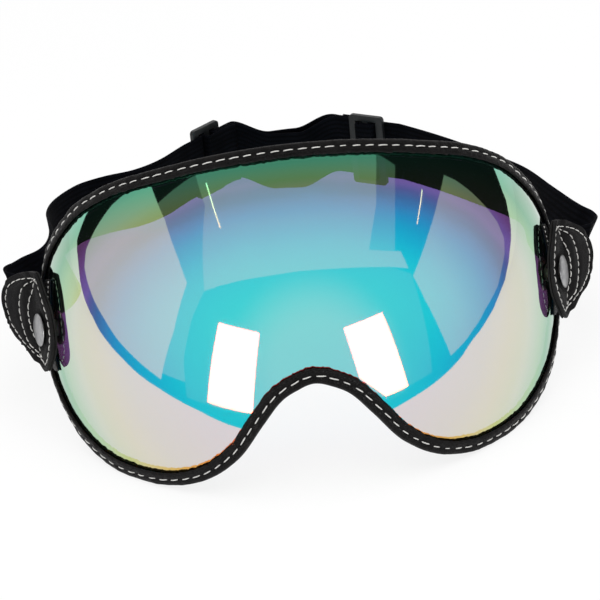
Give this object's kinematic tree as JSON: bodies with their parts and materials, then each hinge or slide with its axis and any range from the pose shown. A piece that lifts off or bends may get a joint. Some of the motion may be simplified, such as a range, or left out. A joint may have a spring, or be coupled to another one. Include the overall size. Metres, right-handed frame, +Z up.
{
  "type": "bubble shield riding goggle",
  "caption": "Wraparound clear mirrored bubble shield bound in stitched leather, on leaf-shaped side tabs that turn on rivets, with an elastic head strap and bar sliders.",
  "frame": {"origin": "on the floor under the middle of the bounding box", "axes": "+Z up as it stands on the shield's two lower lobes and the back of its strap, +Y from the shield towards the back of the strap, +X to the wearer's left as they face the same way as the shield looks, which is the right in the picture"},
  "size_m": [0.2522, 0.2638, 0.124],
  "materials": {
    "black_leather": "grained, semi-matte",
    "clear_mirror_polycarbonate": "clear, with a thin mirror coat",
    "satin_nickel": "satin",
    "black_elastic": "woven",
    "black_acetal": "moulded satin",
    "grey_foam": "soft felt pad"
  },
  "bodies": {
    "shield": {"lens": "clear_mirror_polycarbonate", "rim_binding": "black_leather", "side_patch_left": "black_leather", "rivet_stud_left": "satin_nickel", "spacer_washer_left": "satin_nickel", "rivet_cap_left": "satin_nickel", "side_patch_right": "black_leather", "rivet_stud_right": "satin_nickel", "spacer_washer_right": "satin_nickel", "rivet_cap_right": "satin_nickel"},
    "head_strap": {"shank_collar_left": "satin_nickel", "leaf_back_left": "black_leather", "leaf_foam_left": "grey_foam", "leaf_front_left": "black_leather", "strap_left": "black_elastic", "shank_collar_right": "satin_nickel", "leaf_back_right": "black_leather", "leaf_foam_right": "grey_foam", "leaf_front_right": "black_leather", "strap_right": "black_elastic"},
    "left_slider": {"slider_left": "black_acetal"},
    "right_slider": {"slider_right": "black_acetal"}
  },
  "joints": [
    {"name": "strap_swing", "type": "hinge", "parent": "shield", "child": "head_strap", "pos_m": [-0.00136, -0.06432, 0.04661], "axis": [1, 0, 0], "range_deg": [-15, 15]},
    {"name": "left_slider_slide", "type": "slide", "parent": "head_strap", "child": "left_slider", "axis": [0.7071, 0.7051, -0.0529], "range_m": [-0.005, 0.005], "deforming": ["strap_left", "strap_right"]},
    {"name": "right_slider_slide", "type": "slide", "parent": "head_strap", "child": "right_slider", "axis": [-0.8387, 0.5431, -0.0407], "range_m": [-0.005, 0.005], "deforming": ["strap_left", "strap_right"]}
  ]
}
